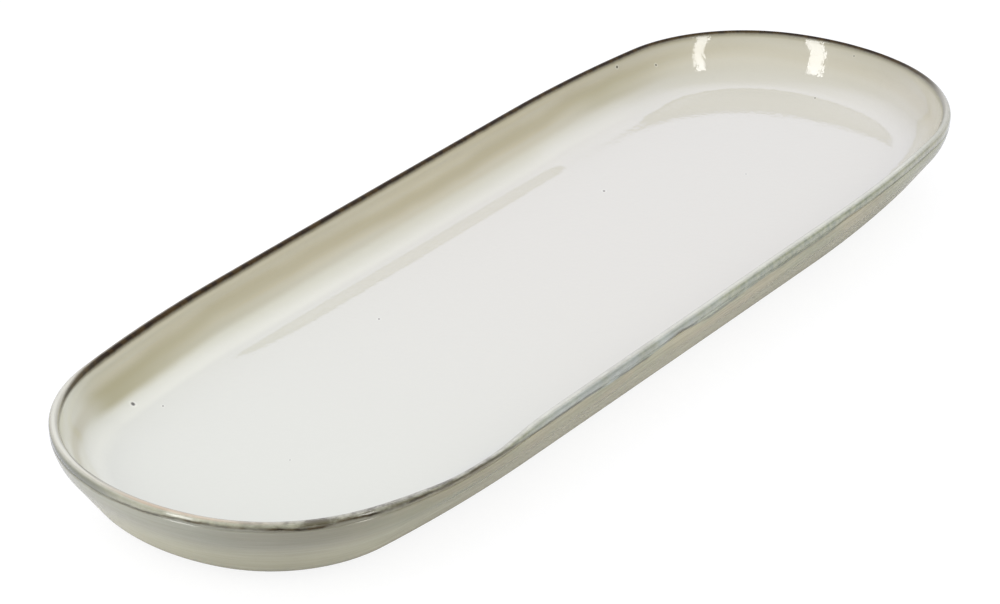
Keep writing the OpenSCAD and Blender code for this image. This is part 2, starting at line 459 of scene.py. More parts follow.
outer = outer_wall(COAT_T)
glaze_end = -(FOOT_IN - WIPE_W)
tail = even([[glaze_end, FOOT_H - COAT_T]])
outer = np.concatenate([outer, tail], axis=1)
outer_across = band_across[:, -1:] + lengths_along(outer)
outer_grid = carried(outer)
outer_under = carried(np.concatenate([outer_wall(0), even([[glaze_end, FOOT_H]])], axis=1))

# All of the glaze from the floor's spine over the lip to the foot, to find places on it
sight_grid = np.concatenate([back(well_top), band_grid[:, 1:], outer_grid[:, 1:]], axis=1)
sight_across = np.concatenate([back(well_across), band_across[:, 1:], outer_across[:, 1:]], axis=1)


def sight_tree():
    """The whole glaze as a search tree, and its points in the order of the grid."""
    count = sight_grid.shape[1]
    ids = np.arange(STATIONS * count).reshape(STATIONS, count)
    following = np.roll(ids, -1, axis=0)
    quads = np.stack([ids[:, :-1], ids[:, 1:], following[:, 1:], following[:, :-1]], axis=2)
    verts = (sight_grid * MM).reshape(-1, 3)
    return BVHTree.FromPolygons(verts.tolist(), quads.reshape(-1, 4).tolist()), verts


tree, sight_verts = sight_tree()


def on_glaze(x, y):
    """Place on the glaze seen at a pixel of the photograph, or nearest to it just off the rim."""
    start, way = pixel_ray(x, y)
    hit = tree.ray_cast(start, way)[0]
    if hit is None:
        hit = tree.find_nearest(start + way * VIEW_DISTANCE)[0]
    return hit


def run_and_across(x, y):
    """Run round the outline and place across it, in millimetres, seen at a pixel."""
    hit = np.array(on_glaze(x, y))
    nearest = int(np.argmin(((sight_verts - hit) ** 2).sum(axis=1)))
    station, point = divmod(nearest, sight_grid.shape[1])
    return run[station], sight_across[station, point]


# ---- the iron line where the two glazes meet, and the tones round the plate ----

# Pixels on the dark line along the near side, from the left end to the right end
NEAR_LINE_PIXELS = (
    (100, 494), (120, 502), (140, 510), (160, 515), (180, 519.5), (230, 528), (270, 529), (300, 529),
    (320, 527), (340, 521.5), (380, 513), (395, 508), (454, 482), (472, 472), (484, 464), (540, 429.5),
    (586, 398), (612, 381), (650, 355.5), (680, 331), (710, 316), (750, 287), (762, 279), (800, 252),
    (830, 232), (850, 215), (870, 201),
)
near_places = np.array([run_and_across(x, y) for x, y in NEAR_LINE_PIXELS])
near_places = near_places[np.argsort(near_places[:, 0])]
near_line = np.interp(run, near_places[:, 0], near_places[:, 1])
# Half the width of the near line, in millimetres
NEAR_HALF = 0.55
# Stations on each side that a value round the outline is averaged over
SOFTEN = 4

# Pixels at places of the rim that the values below share
FAR_RIGHT = (925, 84)
FAR_MIDDLE = (500, 121)
FAR_LEFT = (100, 362)
LEFT_TIP = (66, 390)
LEFT_END = (56, 440)
NEAR_LEFT = (100, 492)
NEAR_RIGHT = (870, 198)
RIGHT_TIP = (945, 140)


def between(*knots):
    """A value that changes in straight lines round the outline through knots, each the pixel of a
    place and the value there, then averaged with its neighbours so that it has no kinks."""
    knots = sorted((run_and_across(*pixel)[0], value) for pixel, value in knots)
    places, values = zip(*knots)
    value = np.interp(run, places, values, period=whole_run)
    return sum(np.roll(value, shift) for shift in range(-SOFTEN, SOFTEN + 1)) / (2 * SOFTEN + 1)


# The line on the far side and at both ends: how far across it lies, and half its width
far_line = between(
    (RIGHT_TIP, -1.3), (FAR_RIGHT, -0.4), (FAR_MIDDLE, -0.4), (FAR_LEFT, -0.8), (LEFT_TIP, -1.8),
    ((60, 415), -2.6), (LEFT_END, -2.2), ((66, 453), -1.2), ((89, 474), -0.3), ((107, 487), -0.1),
    (NEAR_RIGHT, -2.3))
far_half = between(
    (RIGHT_TIP, 0.4), (FAR_RIGHT, 1.0), (FAR_MIDDLE, 1.2), (FAR_LEFT, 1.3), (LEFT_TIP, 0.75),
    (LEFT_END, 0.4), (NEAR_LEFT, 0.35), (NEAR_RIGHT, 0.2))

# How strongly each line and tone shows round the plate
TONES = {
    # the near and the far part of the iron line; at the left end the near part is painted shade under
    # the lip
    "near_dark": between(
        (LEFT_TIP, 0.05), (LEFT_END, 0.25), (NEAR_LEFT, 0.42), ((200, 524), 0.8), ((270, 529), 1.0),
        ((395, 508), 0.85), ((540, 429.5), 0.5), ((650, 355), 0.6), ((762, 279), 0.55),
        (NEAR_RIGHT, 0.35), (RIGHT_TIP, 0.15), (FAR_RIGHT, 0.05), (FAR_MIDDLE, 0.3)),
    "far_dark": between(
        (RIGHT_TIP, 0.25), ((937, 100), 0.35), (FAR_RIGHT, 0.85), ((890, 66), 1.0), (FAR_MIDDLE, 1.0),
        (FAR_LEFT, 1.0), (LEFT_TIP, 0.8), ((60, 413), 0.45), (LEFT_END, 0.5), ((90, 474), 0.45),
        ((125, 497), 0.0), (NEAR_RIGHT, 0.0)),
    # beige and its tan band on the upper wall
    "wall_tint": between(
        (RIGHT_TIP, 0.25), (FAR_RIGHT, 0.3), ((765, 60), 0.27), ((640, 80), 0.55), (FAR_MIDDLE, 0.85),
        (FAR_LEFT, 0.7), (LEFT_TIP, 0.3), (LEFT_END, 0.2), (NEAR_LEFT, 0.2)),
    # a paler stretch where the far wall turns into the floor
    "bright_tint": between(
        (FAR_MIDDLE, 0.36), ((400, 200), 0.38), ((300, 250), 0.5), (FAR_LEFT, 0.4), (LEFT_TIP, 0.0),
        (NEAR_LEFT, 0.0), (RIGHT_TIP, 0.0), ((640, 80), 0.0), ((600, 95), 0.15)),
    # olive low on the wall, at the far-left corner and before the right end
    "cove_tint": between(
        ((700, 60), 0.0), ((640, 80), 0.3), ((600, 95), 0.55), ((560, 105), 0.1), (FAR_MIDDLE, 0.0),
        ((300, 250), 0.0), ((180, 330), 0.4), (FAR_LEFT, 1.0), ((100, 400), 0.85), ((100, 414), 0.35),
        ((107, 429), 0.1), ((80, 430), 0.2), (LEFT_END, 0.1), (NEAR_LEFT, 0.0)),
    # the greyer lip of the near side, its warm place and its bluish stretch
    "lip_tint": between(
        (RIGHT_TIP, 0.3), (FAR_RIGHT, 0.0), (FAR_LEFT, 0.0), (LEFT_END, 0.1), (NEAR_LEFT, 0.35),
        ((300, 529), 0.6), ((470, 472), 0.6), ((540, 429.5), 1.0), (NEAR_RIGHT, 1.0)),
    "warm_tint": between(
        (LEFT_END, 0.0), (NEAR_LEFT, 0.15), ((150, 506), 0.9), ((240, 523), 0.8), ((300, 524), 0.2),
        ((395, 503), 0.1), ((540, 426), 0.0)),
    "cool_tint": between(
        ((500, 460), 0.0), ((545, 427), 0.7), ((600, 390), 0.8), ((680, 335), 0.7), ((760, 280), 0.2),
        (NEAR_RIGHT, 0.0), (FAR_MIDDLE, 0.0)),
    # the left end: painted light that makes its wall paler, a painted highlight along its crest,
    # painted shade in the hollow under its lip, and a darker band on its wall
    "pale_tint": between(
        (FAR_LEFT, 0.0), ((100, 400), 0.0), (LEFT_TIP, 0.7), (LEFT_END, 1.0), (NEAR_LEFT, 0.9),
        ((200, 500), 0.0), (FAR_MIDDLE, 0.0), (NEAR_RIGHT, 0.0)),
    # painted light and shade on the outer wall: how light it is at each place round the plate
    "outer_light": between(
        (RIGHT_TIP, 1.0), (FAR_RIGHT, 1.0), (FAR_LEFT, 1.0), (LEFT_END, 0.97), (NEAR_LEFT, 0.93),
        ((150, 530), 0.86), ((220, 555), 0.73), ((300, 540), 0.7), ((360, 530), 0.78),
        ((430, 500), 0.88), ((550, 430), 0.94), ((650, 360), 1.05), ((700, 330), 1.08),
        ((850, 220), 1.0)),
    # the darker olive wash over the lip, heaviest where the rim sags, which also sets the painted shade
    # on the outer wall under the lip
    "smudge": between(
        (LEFT_END, 0.0), (NEAR_LEFT, 0.05), ((200, 524), 0.15), ((250, 528), 0.45), ((300, 529), 0.9),
        ((350, 521), 0.95), ((400, 506), 0.75), ((430, 490), 0.85), ((475, 470), 0.85),
        ((510, 452), 0.45), ((540, 429), 0.2), ((612, 381), 0.3), ((650, 355), 0.3),
        ((710, 316), 0.15), (NEAR_RIGHT, 0.15), (RIGHT_TIP, 0.0), (FAR_MIDDLE, 0.0)),
}


def glaze_fields(across):
    """What the glaze materials read at each point: its place across and round the plate, how many
    half widths it is from each iron line, and the tones of its station."""
    fields = {
        "across": across,
        "around": ring_field(across),
        "near_line": (across - near_line[:, None]) / NEAR_HALF,
        "far_line": (across - far_line[:, None]) / far_half[:, None],
    }
    for name, tone in TONES.items():
        fields[name] = np.broadcast_to(tone[:, None], across.shape)
    return fields


# ---- pieces ----

def closed_fields(across, from_floor):
    """Fields of a coat: those of its face, and the same again along its hidden side. The section
    starts in the middle of the floor, or else where the face begins."""
    fields = glaze_fields(across)
    if from_floor:
        return {name: np.concatenate([back(v), v], axis=1) for name, v in fields.items()}
    return {name: np.concatenate([v, back(v)], axis=1) for name, v in fields.items()}


well = swept_piece("cream_well_glaze", np.concatenate([back(well_top), well_under], axis=1),
                   closed_fields(well_across, True), True, (well_top.shape[1] - 1,))
rim = swept_piece("iron_rim_band", np.concatenate([band_grid, back(band_under)], axis=1),
                  closed_fields(band_across, False), False,
                  (band_grid.shape[1] - 1, 2 * band_grid.shape[1] - 1))
coat = swept_piece("olive_outer_glaze", np.concatenate([outer_grid, back(outer_under)], axis=1),
                   closed_fields(outer_across, False), False,
                   (outer_grid.shape[1] - 1, 2 * outer_grid.shape[1] - 1))

clay_section = np.concatenate([
    back(floor_edge(inner_wall(0, FLOOR_Z))), back(crown(0))[:, 1:], shoulder(0)[:, 1:],
    outer_wall(0)[:, 1:], foot(),
], axis=1)
clay_grid = carried(clay_section)
clay_grid = np.concatenate([back(disc(clay_grid[:, 0])), clay_grid, disc(clay_grid[:, -1])], axis=1)
clay = swept_piece("bare_clay_body", clay_grid, {"around": ring_field(lengths_along(clay_grid))}, True)

base_in = -(FOOT_OUT + WIPE_W)
base_edge = carried(even([[base_in, BASE_UP], [base_in, BASE_UP - COAT_T]]))
base_grid = np.concatenate([back(disc(base_edge[:, 0])), base_edge, disc(base_edge[:, 1])], axis=1)
base = swept_piece("underside_glaze", base_grid, {"around": ring_field(lengths_along(base_grid))}, True,
                   (FLOOR_RINGS,))


# ---- materials ----

def wire(socket, value):
    """Give a socket its value: a number, a place, a colour, or by a link the output of another node."""
    if isinstance(value, bpy.types.NodeSocket):
        socket.id_data.links.new(value, socket)
    else:
        socket.default_value = value


def put(tree, kind, *values, **settings):
    """A new node of a kind, with its settings and the values of its first sockets."""
    node = tree.nodes.new(kind)
    for key, value in settings.items():
        setattr(node, key, value)
    for socket, value in zip(node.inputs, values):
        wire(socket, value)
    return node


class Nodes:
    """Short ways to lay out one material's nodes."""

    def __init__(self, name):
        self.material = bpy.data.materials.new(name)
        self.material.use_nodes = True
        self.shader = self.material.node_tree.nodes["Principled BSDF"]
        self.add = partial(put, self.material.node_tree)

    def math(self, operation, a, b=0.0, c=0.0):
        """The result of an operation on one, two or three values."""
        return self.add("ShaderNodeMath", a, b, c, operation=operation).outputs[0]

    def times(self, first, second):
        """Two values multiplied."""
        return self.math("MULTIPLY", first, second)

    def swing(self, noise, reach):
        """Noise from nothing to one, turned into a shift from minus its reach to plus its reach."""
        return self.math("MULTIPLY_ADD", noise, 2 * reach, -reach)

    def spread(self, value, low, high, to_low=0.0, to_high=1.0):
        """Value from low..high to to_low..to_high along a soft S, held at the ends."""
        return self.add("ShaderNodeMapRange", value, low, high, to_low, to_high,
                        interpolation_type="SMOOTHSTEP").outputs[0]

    def band(self, value, middle, core, fade, most):
        """A soft stripe: its full share as far as core from its middle, and nothing beyond fade."""
        off = self.math("ABSOLUTE", self.math("ADD", value, -middle))
        return self.spread(off, core, fade, most, 0.0)

    def mix(self, share, first, second):
        """The first colour, with a share of the second laid over it."""
        node = self.add("ShaderNodeMix", data_type="RGBA")
        wire(node.inputs[0], share)
        wire(node.inputs[6], first)
        wire(node.inputs[7], second)
        return node.outputs[2]

    def toned(self, colour, *layers):
        """A colour with layers over it, each a share, the tone round the plate that the share is
        multiplied by, and the layer's colour."""
        for share, tone, tint in layers:
            colour = self.mix(self.times(share, self.field(tone)), colour, tint)
        return colour

    def scaled(self, colour, share):
        """A colour made lighter or darker by a share that may pass one."""
        node = self.add("ShaderNodeVectorMath", colour, operation="SCALE")
        wire(node.inputs["Scale"], share)
        return node.outputs[0]

    def field(self, name):
        """A number that the mesh holds at each point."""
        return self.add("ShaderNodeAttribute", attribute_name=name).outputs["Fac"]

    def around(self):
        """Place round the plate and across it, as the mesh holds it, for noise that follows the rim."""
        return self.add("ShaderNodeAttribute", attribute_name="around").outputs["Vector"]

    def here(self):
        """Place on the object, in metres."""
        return self.add("ShaderNodeTexCoord").outputs["Object"]

    def noise(self, where, scale, stretch=(1, 1, 1), detail=2.0, rough=0.5, offset=(0, 0, 0)):
        """Noise from nothing to one at a place that is stretched and moved first."""
        mapping = self.add("ShaderNodeMapping", where)
        mapping.inputs["Scale"].default_value = stretch
        mapping.inputs["Location"].default_value = offset
        node = self.add("ShaderNodeTexNoise", mapping.outputs[0])
        node.inputs["Scale"].default_value = scale
        node.inputs["Detail"].default_value = detail
        node.inputs["Roughness"].default_value = rough
        return node.outputs[0]

    def dots(self, where, scale, core, fade, most):
        """Small dots strewn about, one to a cell: full as far as core from the cell's middle."""
        node = self.add("ShaderNodeTexVoronoi", where)
        node.inputs["Scale"].default_value = scale
        return self.spread(node.outputs["Distance"], core, fade, most, 0.0)

    def bump(self, height, depth, under=None, strength=1.0):
        """A surface that stands up by a height times a depth in metres, over the bumps under it."""
        node = self.add("ShaderNodeBump")
        node.inputs["Strength"].default_value = strength
        node.inputs["Distance"].default_value = depth
        wire(node.inputs["Height"], height)
        if under is not None:
            wire(node.inputs["Normal"], under)
        return node.outputs[0]


def srgb(r, g, b):
    """A colour as seen on a screen, 0 to 255, made linear."""
    v = np.array([r, g, b]) / 255
    v = np.where(v <= 0.04045, v / 12.92, ((v + 0.055) / 1.055) ** 2.4)
    return (*v.tolist(), 1.0)


CREAM = srgb(198, 195, 181)
CREAM_COOL = srgb(196, 196, 181)
CREAM_PALE = srgb(216, 215, 197)
WALL_BEIGE = srgb(202, 194, 166)
WALL_BAND = srgb(168, 158, 124)
COVE_OLIVE = srgb(168, 162, 129)
LIP_GREY = srgb(142, 147, 128)
LIP_MIST = srgb(168, 170, 144)
LIP_BLUE = srgb(176, 182, 176)
LIP_CREAM = srgb(164, 162, 146)
# painted highlight on the inner top of the near lip
LIP_PALE_HIGHLIGHT = srgb(197, 196, 178)
LIP_TAN = srgb(178, 148, 112)
OLIVE = srgb(181, 174, 144)
OLIVE_GREEN = srgb(169, 170, 142)
OLIVE_PINK = srgb(184, 172, 145)
OLIVE_DARK = srgb(122, 116, 88)
OLIVE_LOW = srgb(209, 205, 178)
# painted shade under the lip at the left end
OLIVE_PAINTED_SHADE = srgb(110, 111, 95)
OLIVE_MIST = srgb(174, 174, 160)
IRON = srgb(36, 24, 6)
IRON_BROWN = srgb(60, 44, 14)
IRON_OLIVE = srgb(68, 60, 34)
IRON_GREY = srgb(70, 66, 50)
SPECK_RIM = srgb(222, 220, 206)
CLAY_TAN = srgb(186, 166, 134)
CLAY_BROWN = srgb(166, 142, 108)
GROG_BROWN = srgb(92, 70, 48)

# Noises: scale, stretch, detail, roughness and offset, as far as they aren't the plain ones
EVENLY = (1, 1, 1)
STREAKS = (60, (0.35, 0.35, 14), 4.0, 0.65)
FINE_STREAKS = (60, (0.8, 0.8, 45), 3.0, 0.6, (3, 1, 2))
CLOUDS = (14, EVENLY, 3.0, 0.5)
GREEN_PATCHES = (30, (1, 1, 3), 3.0, 0.55, (7, 2, 5))
PINK_PATCHES = (40, (1, 1, 2), 3.0, 0.6, (1, 6, 3))
LIP_MOTTLES = (420, EVENLY, 4.0, 0.7)
LIP_PATCHES = (70,)
BLOTS = (110, (1, 1, 2.5), 4.0, 0.7, (2, 3, 9))
IRON_MOTTLES = (300,)
IRON_WANDER = (160, EVENLY, 3.0, 0.6)
IRON_FRAY = (900, EVENLY, 2.0, 0.6, (0.3, 0.1, 0.2))
IRON_GAPS = (90, EVENLY, 3.0, 0.65, (4, 1, 2))
PEEL = (600,)
WAVES = (30,)
CLAY_CLOUDS = (30, EVENLY, 4.0, 0.6)
CLAY_DRYNESS = (200,)
CLAY_RINGS = (60, (0.3, 0.3, 20), 3.0)
CLAY_TOOTH = (900, EVENLY, 3.0)
BASE_CLOUDS = (25, EVENLY, 4.0, 0.6)
BASE_SHINE = (120,)
BASE_SKIN = (200,)

# Stripes across the section, in millimetres from the top of the lip: the middle, how far from it the
# stripe is full, how far from it the stripe ends, and its full share
TAN_STRIPE = (-7.8, 0.3, 4.0, 0.68)
OLIVE_STRIPE = (-10.5, 2.0, 5.0, 0.85)
DUSK_STRIPE = (-11.0, 0.5, 3.0, 0.5)
BRIGHT_STRIPE = (-17.5, 2.0, 4.5, 1.0)
CREST_HIGHLIGHT_STRIPE = (0.1, 0.2, 0.9, 0.4)
WARM_STRIPE = (0.2, 0.2, 0.9, 0.85)
WASH_STRIPE = (1.0, 0.8, 3.0, 1.0)
HOLLOW_SHADE_STRIPE = (2.6, 0.6, 1.9, 1.0)

# Fades across the section: from where to where, in the same millimetres, and from which share to which
PALE_LIGHT_FADE = (-24.0, -18.0, 0.0, 0.8)
WALL_FADE = (-18.0, -9.0)
BROW_FADE = (-3.4, -1.6, 0.0, 0.6)
LIP_FADE = (-2.8, -1.8)
RIDGE_HIGHLIGHT_FADE = (0.3, 1.3, 0.9, 0.0)
SHADE_FADE = (4.0, 15.0, 0.5, 0.0)
HEEL_LIGHT_FADE = (7.0, 21.0, 0.0, 0.95)

# Fades along the plate: from where to where, in metres from its middle, and from which share to which
COOL_CREAM_FADE = (-0.17, 0.05)
MIST_FADE = (-0.17, -0.125, 0.8, 0.0)
FEW_LINES_FADE = (-0.16, -0.11, 0.35, 1.0)

# How far noise pushes the edges of the zones about, in millimetres
CLOUD_DRIFT = 4.5
LIP_DRIFT = 0.6
# The outside starts at the near line, in half widths of it: how far streaks push it, and its fade
OUTSIDE_DRIFT = 1.0
OUTSIDE_FADE = (-0.6, 1.4)
# Beige that is left between the brush lines
BEIGE_LEAST = 0.6

# The iron line, in its half widths: how far it wanders and frays, the share of that on the far side,
# where each part is full and where it ends, and how much is left in the gaps of the near one
WANDER_REACH = 0.8
FRAY_REACH = 0.4
FAR_SHIFT = 0.22
NEAR_EDGE = (0.1, 1.5, 1.0, 0.0)
FAR_EDGE = (0.25, 1.7, 1.0, 0.0)
NEAR_GAPS = (0.34, 0.6, 0.3, 1.0)

# The surface: light bending of the glaze, its specular level and that of the iron, the roughness of
# the iron, and the depth of the fine peel and of the slow waves in metres
GLAZE_IOR = 1.6
GLAZE_LEVEL = 0.5
IRON_LEVEL = 0.08
IRON_ROUGH = 0.55
PEEL_DEPTH = 0.000035
WAVE_DEPTH = 0.0002

# Pits and specks in the cream glaze: pixel, radius in millimetres, darkness
SPECKS = (
    ((133, 404), 0.9, 0.95), ((163, 406), 0.45, 0.85), ((604, 191), 0.6, 0.95), ((379, 319), 0.5, 0.9),
    ((746, 174), 0.4, 0.6), ((290, 460), 0.4, 0.55), ((617, 67), 0.6, 0.9), ((656, 65), 0.5, 0.8),
    ((815, 98), 0.5, 0.8), ((854, 56), 0.4, 0.6),
)
# In radii of the speck: how far its core is full, and how far its pale ring reaches
SPECK_CORE = 0.4
RING_REACH = 1.8
# Strength of the ring, as a share of the speck's darkness
RING_SHARE = 0.5


def iron_share(n, around):
    """How much iron shows: a steady soft line on the far side, and a finer one on the near side that
    wanders and breaks up with noise."""
    wander = n.swing(n.noise(around, *IRON_WANDER), WANDER_REACH)
    shift = n.math("ADD", wander, n.swing(n.noise(around, *IRON_FRAY), FRAY_REACH))
    off = n.math("ABSOLUTE", n.math("ADD", n.field("near_line"), shift))
    near = n.times(n.spread(off, *NEAR_EDGE), n.field("near_dark"))
    near = n.times(near, n.spread(n.noise(around, *IRON_GAPS), *NEAR_GAPS))
    off = n.math("ABSOLUTE", n.math("MULTIPLY_ADD", shift, FAR_SHIFT, n.field("far_line")))
    far = n.times(n.spread(off, *FAR_EDGE), n.field("far_dark"))
    return n.math("MAXIMUM", near, far)


def inside_colour(n, across, along, drift, streak):
    """Cream, beige towards the rim with one browner band, paler where the far wall meets the floor,
    paler at the left end by painted light, and olive low on the far-left wall."""
    cream = n.mix(n.spread(along, *COOL_CREAM_FADE), CREAM_COOL, CREAM)
    brushed = n.math("MULTIPLY_ADD", n.spread(streak, 0.3, 0.7), 1 - BEIGE_LEAST, BEIGE_LEAST)
    high = n.times(n.spread(drift, *WALL_FADE), n.field("wall_tint"))
    return n.toned(
        n.mix(n.times(high, brushed), cream, WALL_BEIGE),
        (n.band(drift, *TAN_STRIPE), "wall_tint", WALL_BAND),
        # painted light: the wall and lip at the left end made paler
        (n.spread(across, *PALE_LIGHT_FADE), "pale_tint", CREAM_PALE),
        (n.band(across, *BRIGHT_STRIPE), "bright_tint", CREAM_PALE),
        (n.band(across, *DUSK_STRIPE), "pale_tint", WALL_BAND),
        (n.band(drift, *OLIVE_STRIPE), "cove_tint", COVE_OLIVE),
        (n.spread(across, *BROW_FADE), "wall_tint", WALL_BAND),
    )


def outside_colour(n, across, along, around, streak):
    """Olive with green and pinkish patches, greyer at the left end, with darker brush lines; painted
    light makes it paler at the heel and painted shade darker under the lip, and painted light and shade
    round the plate scales it all."""
    green = n.spread(n.noise(around, *GREEN_PATCHES), 0.42, 0.62)
    pink = n.spread(n.noise(around, *PINK_PATCHES), 0.46, 0.64, 0.0, 0.65)
    pink = n.times(pink, n.spread(n.field("lip_tint"), 0.6, 1.0))
    colour = n.mix(pink, n.mix(green, OLIVE_GREEN, OLIVE), OLIVE_PINK)
    colour = n.mix(n.spread(along, *MIST_FADE), colour, OLIVE_MIST)
    # painted light: paler towards the heel
    colour = n.mix(n.spread(across, *HEEL_LIGHT_FADE), colour, OLIVE_LOW)
    # painted shade on the outer wall just under the lip
    colour = n.toned(colour, (n.spread(across, *SHADE_FADE), "smudge", OLIVE_DARK))
    fine = n.spread(n.noise(around, *FINE_STREAKS), 0.34, 0.62, 0.5, 0.0)
    lines = n.math("MAXIMUM", n.spread(streak, 0.30, 0.56, 0.5, 0.0), fine)
    colour = n.mix(n.times(lines, n.spread(along, *FEW_LINES_FADE)), colour, OLIVE_DARK)
    # painted light and shade round the plate scales the whole outer colour
    return n.scaled(colour, n.field("outer_light"))


def lip_colour(n, across, around):
    """The lip: mottled grey with a bluish stretch, beige on the far side, a warm place, a pale ridge on
    the near side that is a painted highlight, and a painted highlight of pale cream at the left end."""
    mottled = n.mix(n.spread(n.noise(around, *LIP_MOTTLES), 0.36, 0.62), LIP_GREY, LIP_MIST)
    blue = n.spread(n.noise(around, *LIP_PATCHES), 0.3, 0.6)
    mottled = n.toned(mottled, (blue, "cool_tint", LIP_BLUE))
    far = n.mix(n.field("wall_tint"), LIP_CREAM, WALL_BEIGE)
    colour = n.mix(n.field("lip_tint"), far, mottled)
    colour = n.toned(colour, (n.band(across, *WARM_STRIPE), "warm_tint", LIP_TAN))
    # painted highlight: the inner top of the near lip made paler
    ridge = n.times(n.spread(across, *RIDGE_HIGHLIGHT_FADE), n.spread(n.field("lip_tint"), 0.3, 0.8))
    colour = n.mix(ridge, colour, LIP_PALE_HIGHLIGHT)
    # painted highlight of pale cream along the crest of the lip at the left end
    return n.toned(colour, (n.band(across, *CREST_HIGHLIGHT_STRIPE), "pale_tint", CREAM_PALE))


def with_specks(n, colour, here):
    """The colour with its pits and specks, each a dark spot in a paler ring. How dark they are at a
    point depends on its distance from the speck's middle."""
    for pixel, radius, dark in SPECKS:
        apart = n.add("ShaderNodeVectorMath", here, on_glaze(*pixel), operation="DISTANCE")
        away = apart.outputs["Value"]
        ring = n.spread(away, radius * MM, RING_REACH * radius * MM, RING_SHARE * dark, 0.0)
        colour = n.mix(ring, colour, SPECK_RIM)
        spot = n.spread(away, SPECK_CORE * radius * MM, radius * MM, dark, 0.0)
        colour = n.mix(spot, colour, IRON_GREY)
    return colour


def glaze_material(name, rough, brush):
    """One glaze over wall and lip, seen through three zones across the section: cream floor and beige
    wall inside, a greyer lip, olive outside, with the iron line between. Streaks run along the
    plate where the coat was brushed, and blotches come from slow noise."""
    n = Nodes(name)
    across, around, here = n.field("across"), n.around(), n.here()
    along = n.add("ShaderNodeSeparateXYZ", here).outputs["X"]
    streak = n.noise(around, *STREAKS)
    drift = n.math("ADD", across, n.swing(n.noise(here, *CLOUDS), CLOUD_DRIFT))
    inside = inside_colour(n, across, along, drift, streak)
    outside = outside_colour(n, across, along, around, streak)
    edge = n.math("ADD", across, n.swing(streak, LIP_DRIFT))
    colour = n.mix(n.spread(edge, *LIP_FADE), inside, lip_colour(n, across, around))
    past = n.math("ADD", n.field("near_line"), n.swing(streak, OUTSIDE_DRIFT))
    colour = n.mix(n.spread(past, *OUTSIDE_FADE), colour, outside)
    # the olive wash over the lip, and painted shade in the hollow just under the lip at the left end
    blots = n.spread(n.noise(around, *BLOTS), 0.38, 0.6, 0.35, 1.0)
    colour = n.toned(
        colour,
        (n.times(n.band(across, *WASH_STRIPE), blots), "smudge", IRON_OLIVE),
        (n.band(across, *HOLLOW_SHADE_STRIPE), "pale_tint", OLIVE_PAINTED_SHADE),
    )
    iron = n.mix(n.spread(n.noise(around, *IRON_MOTTLES), 0.4, 0.62), IRON, IRON_BROWN)
    share = iron_share(n, around)
    colour = n.mix(share, colour, iron)
    if name == "cream_glaze":
        colour = with_specks(n, colour, here)
    wire(n.shader.inputs["Base Color"], colour)
    wire(n.shader.inputs["Roughness"], n.spread(share, 0.0, 1.0, rough, IRON_ROUGH))
    wire(n.shader.inputs["Specular IOR Level"], n.spread(share, 0.0, 1.0, GLAZE_LEVEL, IRON_LEVEL))
    n.shader.inputs["IOR"].default_value = GLAZE_IOR
    peel = n.bump(n.noise(here, *PEEL), PEEL_DEPTH)
    wave = n.bump(n.noise(here, *WAVES), WAVE_DEPTH, peel)
    wire(n.shader.inputs["Normal"], n.bump(streak, brush, wave))
    return n.material


def clay_material():
    """Bare fired clay: a warm tan with dark grog specks and a fine tooth from trimming."""
    n = Nodes("bare_stoneware")
    here = n.here()
    tone = n.mix(n.noise(here, *CLAY_CLOUDS), CLAY_TAN, CLAY_BROWN)
    grog = n.dots(here, scale=700, core=0.08, fade=0.2, most=0.5)
    wire(n.shader.inputs["Base Color"], n.mix(grog, tone, GROG_BROWN))
    wire(n.shader.inputs["Roughness"], n.spread(n.noise(here, *CLAY_DRYNESS), 0.3, 0.7, 0.75, 0.95))
    rings = n.bump(n.noise(n.around(), *CLAY_RINGS), 0.00015)
    wire(n.shader.inputs["Normal"], n.bump(n.noise(here, *CLAY_TOOTH), 0.0001, rings, strength=0.8))
    return n.material


def base_material():
    """Underside glaze: the olive coat, thinner and greener, with pinholes."""
    n = Nodes("underside_glaze")
    here = n.here()
    tone = n.mix(n.spread(n.noise(here, *BASE_CLOUDS), 0.35, 0.65), OLIVE, OLIVE_LOW)
    pinholes = n.dots(here, scale=160, core=0.05, fade=0.12, most=0.5)
    wire(n.shader.inputs["Base Color"], n.mix(pinholes, tone, IRON_GREY))
    wire(n.shader.inputs["Roughness"], n.spread(n.noise(here, *BASE_SHINE), 0.3, 0.7, 0.3, 0.45))
    wire(n.shader.inputs["Normal"], n.bump(n.noise(here, *BASE_SKIN), 0.00008))
    return n.material


# Each glaze with its roughness and the depth of its brush lines in metres
for piece, node, material_slot, material in (
    (clay, "stoneware_body", "bare_stoneware", clay_material()),
    (well, "well_glaze", "cream_glaze", glaze_material("cream_glaze", 0.05, 0.000004)),
    (rim, "rim_band", "iron_wash", glaze_material("iron_wash", 0.08, 0.000015)),
    (coat, "outer_glaze", "olive_glaze", glaze_material("olive_glaze", 0.17, 0.00004)),
    (base, "base_glaze", "underside_glaze", base_material()),
):
    piece.data.materials.append(material)
    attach(piece, "root")
    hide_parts(node)


# ---- studio ----

# The floor: how far it reaches in metres, how light it is where it lights the plate, how light its
# shadowed part is to the camera, and the plain white that the camera sees besides
FLOOR_REACH = 3.0
FLOOR_LIT = (0.8, 0.8, 0.8, 1)
FLOOR_FAINT = (0.16, 0.16, 0.16, 1)
FLOOR_WHITE = 0.87

ROOM_COLOUR = (1.0, 1.01, 1.03)
WINDOW_COLOUR = (1.62, 1.65, 2.0)
# The window behind the plate, in degrees: the turn of its middle, then where each edge fades from
# nothing to full, told from that middle, and its top from the level
WINDOW_MIDDLE = 43.0
WINDOW_RIGHT = (-84.0, -43.0)
WINDOW_LEFT = (97.0, 54.0)
WINDOW_TOP = (90.0, 44.0)
# Brightness of the window at floor height and at the height below, as shares of its own
WINDOW_CLIMB = (0.35, 1.3)
CLIMB_FULL = 60.0
